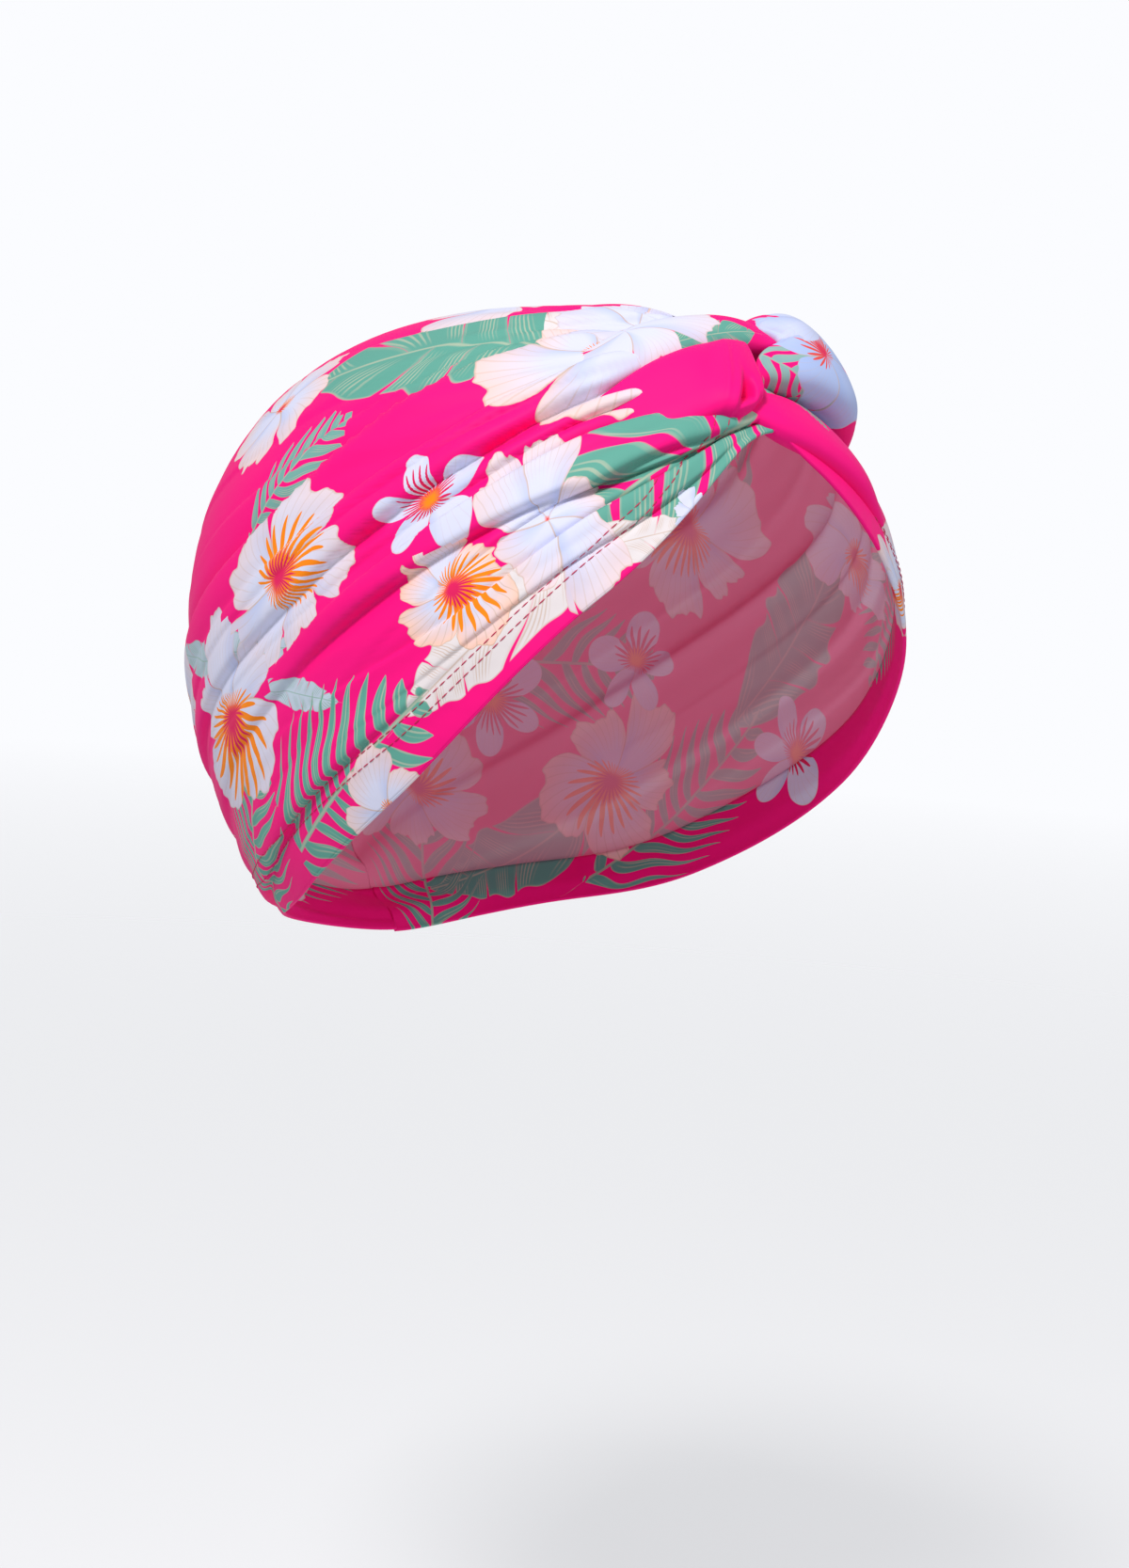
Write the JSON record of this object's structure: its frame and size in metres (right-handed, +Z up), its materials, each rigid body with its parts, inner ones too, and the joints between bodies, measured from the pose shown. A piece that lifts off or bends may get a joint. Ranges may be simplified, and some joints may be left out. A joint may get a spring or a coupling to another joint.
{
  "type": "turban headwrap",
  "caption": "Soft pull-on cap of printed jersey whose two gathered halves loop round each other in a knot over the forehead.",
  "frame": {"origin": "highest point of the wearer's head, on which the crown of the cap rests", "axes": "-Y out through the forehead and the knot, +X to the wearer's left, +Z up"},
  "size_m": [0.1635, 0.19, 0.1743],
  "materials": {
    "printed_jersey": "smooth matt stretch jersey, hot pink with a tropical flower and leaf print",
    "hem_jersey": "the same jersey turned up, with twin-needle stitching"
  },
  "bodies": {
    "root": {"right_panel": "printed_jersey", "left_panel": "printed_jersey", "right_loop": "printed_jersey", "left_loop": "printed_jersey", "right_hem": "hem_jersey", "left_hem": "hem_jersey"}
  },
  "joints": []
}
